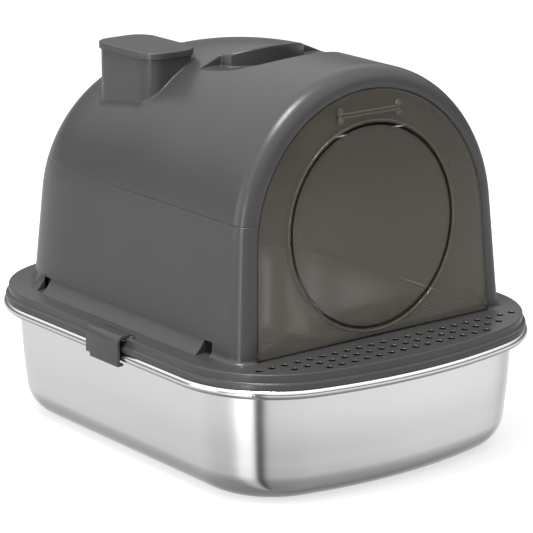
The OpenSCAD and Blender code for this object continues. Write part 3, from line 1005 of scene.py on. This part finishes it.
def bag_cloth():
    look = Look("bag_cloth")
    fibres = look.noise(700, 6, 0.7, stretch=(1, 0.35, 1))
    look.paint("Base Color", fibres, (0.018, 0.018, 0.02), (0.05, 0.05, 0.055))
    look.paint("Roughness", fibres, 0.8, 0.95)
    look.bump(fibres, 0.5, 0.0004)
    look.fix("Sheen Weight", 0.25)
    return look.material


def pale_floor():
    """Pale and faintly lit from within, which weakens the shadow under the pan."""
    look = Look("pale_floor")
    look.paint("Base Color", look.noise(2, 2), 0.5, 0.52)
    look.fix("Roughness", 0.9)
    look.fix("Specular IOR Level", 0.1)
    look.fix("Emission Color", (1, 1, 1, 1))
    look.fix("Emission Strength", 0.55)
    return look.material


# ---------------------------------------------------------------- assembly
def place_piece(obj, mat, slot, body, *nodes):
    """Gives a piece its material and its body, and hides the CAD nodes that it stands for."""
    obj.data.materials.clear()
    obj.data.materials.append(mat)
    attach(obj, body)
    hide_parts(*nodes)


def darken_edges(obj, mat):
    """Gives the edge material, with its painted shade, to the faces that stand across the sheet."""
    obj.data.materials.append(mat)
    forward = Vector((0, -math.cos(LEAN), math.sin(LEAN)))
    limit = math.cos(math.radians(55))
    for face in obj.data.polygons:
        if abs(face.normal.dot(forward)) < limit:
            face.material_index = 1


HOOD_MAT, STEEL_MAT, PIN_MAT = hood_plastic(), pan_steel(), pin_steel()
SMOKED_MAT, TRAY_MAT, BAG_MAT, PAINTED_EDGE_SHADE_MAT = smoked_plastic(), tray_plastic(), bag_cloth(), smoked_edge_painted_shade()

place_piece(make_pan(), STEEL_MAT, "steel", "base", "pan")
place_piece(make_lower_hood(), HOOD_MAT, "hood_plastic", "base", "lower_hood")
place_piece(make_upper_hood(), HOOD_MAT, "hood_plastic", "base", "upper_hood")
place_piece(make_lid(), HOOD_MAT, "hood_plastic", "box_lid", "box_lid")
panel = bevelled_copy("front_panel", "smoked_panel", 0.3)
place_piece(panel, SMOKED_MAT, "smoked_plastic", "door", "front_panel")
darken_edges(panel, PAINTED_EDGE_SHADE_MAT)
relief = make_relief()
# The relief's lighter colour is a painted highlight.
relief.data.materials.append(smoked_bead_painted_highlight())
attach(relief, "door")
flap = bevelled_copy("flap", "swing_flap", 0.4)
place_piece(flap, SMOKED_MAT, "smoked_plastic", "flap", "flap")
darken_edges(flap, PAINTED_EDGE_SHADE_MAT)
clip = bevelled_copy("clip_left", "side_clip_left", 0.5)
place_piece(clip, HOOD_MAT, "hood_plastic", "clip_left", "clip_left")
clip = bevelled_copy("clip_right", "side_clip_right", 0.5)
place_piece(clip, HOOD_MAT, "hood_plastic", "clip_right", "clip_right")
tray = bevelled_copy("filter_tray", "slotted_tray", 0.3)
place_piece(tray, TRAY_MAT, "tray_plastic", "base", "filter_tray")
bag = make_bag()
place_piece(bag, BAG_MAT, "bag_fabric", "base", "charcoal_bag")
for pin in ("flap_pin_left", "flap_pin_right", "clip_pin_left", "clip_pin_right"):
    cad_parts[pin].data.materials.clear()
    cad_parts[pin].data.materials.append(PIN_MAT)


# ---------------------------------------------------------------- floor, light and camera
def make_floor():
    """A pale floor that lights the object and takes its shadow, but isn't mirrored in the steel."""
    size = 9000
    shape = Shape()
    shape.face(with_z(np.array([[-size, -size], [size, -size], [size, size], [-size, size]]), 0))
    floor = shape.build("floor")
    floor.data.materials.append(pale_floor())
    floor.visible_glossy = False


def seen_from(azimuth, elevation):
    """Direction from the object, in degrees. Azimuth 0 is in front of it, negative to its left."""
    a, e = math.radians(azimuth), math.radians(elevation)
    return Vector((math.sin(a) * math.cos(e), -math.cos(a) * math.cos(e), math.sin(e)))


def area_light(name, azimuth, elevation, distance, width, height, power):
    """A softbox that faces the object."""
    target = Vector((0, 0, 0.22))
    light = bpy.data.lights.new(name, "AREA")
    light.shape = "RECTANGLE"
    light.size, light.size_y = width, height
    light.energy = power
    obj = bpy.data.objects.new(name, light)
    bpy.context.scene.collection.objects.link(obj)
    back = seen_from(azimuth, elevation)
    obj.location = target + back * distance
    obj.rotation_euler = back.to_track_quat("Z", "Y").to_euler()


# Studio walls all round the object: azimuth from the front (negative to its left) and brightness
STUDIO = ((-180, 0.72), (-140, 0.78), (-115, 0.72), (-95, 0.74), (-86, 0.95), (-80, 1.4), (-66, 1.55),
          (-61, 1.2), (-57, 0.08), (-50, 0.11), (-46.5, 0.50), (-40, 0.74), (0, 0.78), (40, 0.86),
          (70, 0.82), (100, 0.58), (130, 0.78), (180, 0.72))
# From straight down (-1) to straight up (1), and the brightness that multiplies the walls' own
HEIGHT = ((-1, 0.3), (-0.75, 0.42), (-0.55, 0.66), (-0.38, 1.06), (-0.2, 1.17), (-0.06, 0.9), (0.02, 0.2),
          (0.22, 0.2), (0.32, 0.75), (0.5, 1.5), (1, 1.8))


def maths(nodes, links, operation, first, second):
    node = nodes.new("ShaderNodeMath")
    node.operation = operation
    for socket, value in zip(node.inputs, (first, second)):
        if isinstance(value, float):
            socket.default_value = value
        else:
            links.new(value, socket)
    return node.outputs[0]


def looked_up(nodes, links, value, points):
    """Looks a value up in a table of (value, brightness) pairs."""
    low, high = points[0][0], points[-1][0]
    share = nodes.new("ShaderNodeMapRange")
    share.inputs["From Min"].default_value = low
    share.inputs["From Max"].default_value = high
    links.new(value, share.inputs["Value"])
    table = nodes.new("ShaderNodeValToRGB")
    elements = table.color_ramp.elements
    for k, (at, level) in enumerate(points):
        place = (at - low) / (high - low)
        element = elements[k] if k < 2 else elements.new(place)
        element.position = place
        element.color = (level, level, level, 1)
    links.new(share.outputs["Result"], table.inputs["Fac"])
    return table.outputs["Color"]


def make_world():
    """Light from walls whose brightness changes round the object, before a background that looks white."""
    world = bpy.data.worlds.new("studio")
    world.use_nodes = True
    nodes, links = world.node_tree.nodes, world.node_tree.links
    split = nodes.new("ShaderNodeSeparateXYZ")
    links.new(nodes.new("ShaderNodeTexCoord").outputs["Generated"], split.inputs["Vector"])
    in_front = maths(nodes, links, "MULTIPLY", split.outputs["Y"], -1.0)
    turn = maths(nodes, links, "ARCTAN2", split.outputs["X"], in_front)
    azimuth = maths(nodes, links, "MULTIPLY", turn, 180 / math.pi)
    lit = nodes.new("ShaderNodeMix")
    lit.data_type = "RGBA"
    lit.blend_type = "MULTIPLY"
    lit.inputs["Factor"].default_value = 1
    links.new(looked_up(nodes, links, azimuth, STUDIO), lit.inputs["A"])
    links.new(looked_up(nodes, links, split.outputs["Z"], HEIGHT), lit.inputs["B"])
    seen = nodes.new("ShaderNodeMix")
    seen.data_type = "RGBA"
    links.new(nodes.new("ShaderNodeLightPath").outputs["Is Camera Ray"], seen.inputs["Factor"])
    links.new(lit.outputs["Result"], seen.inputs["A"])
    seen.inputs["B"].default_value = (1, 1, 1, 1)
    links.new(seen.outputs["Result"], nodes["Background"].inputs["Color"])
    bpy.context.scene.world = world


def make_camera():
    """The photo's angle: from the front left and a little above, through a long lens."""
    data = bpy.data.cameras.new("camera")
    data.lens = 191.65
    data.sensor_width = 36
    data.dof.use_dof = False
    data.clip_end = 100
    camera = bpy.data.objects.new("camera", data)
    bpy.context.scene.collection.objects.link(camera)
    target, distance = Vector((0.02303, 0.0204, 0.1681)), 3.0945
    back = seen_from(-37.56, 15.61)
    camera.location = target + back * distance
    camera.rotation_mode = "QUATERNION"
    camera.rotation_quaternion = (-back).to_track_quat("-Z", "Y")
    bpy.context.scene.camera = camera


make_floor()
make_world()
make_camera()
area_light("key", -67, 72, 2.4, 0.7, 0.7, 60)
area_light("left_box", -105, 10, 2.6, 1.4, 1.0, 13)
area_light("column", -60, 4, 2.4, 0.14, 1.3, 14)
bpy.context.scene.view_settings.view_transform = "Standard"
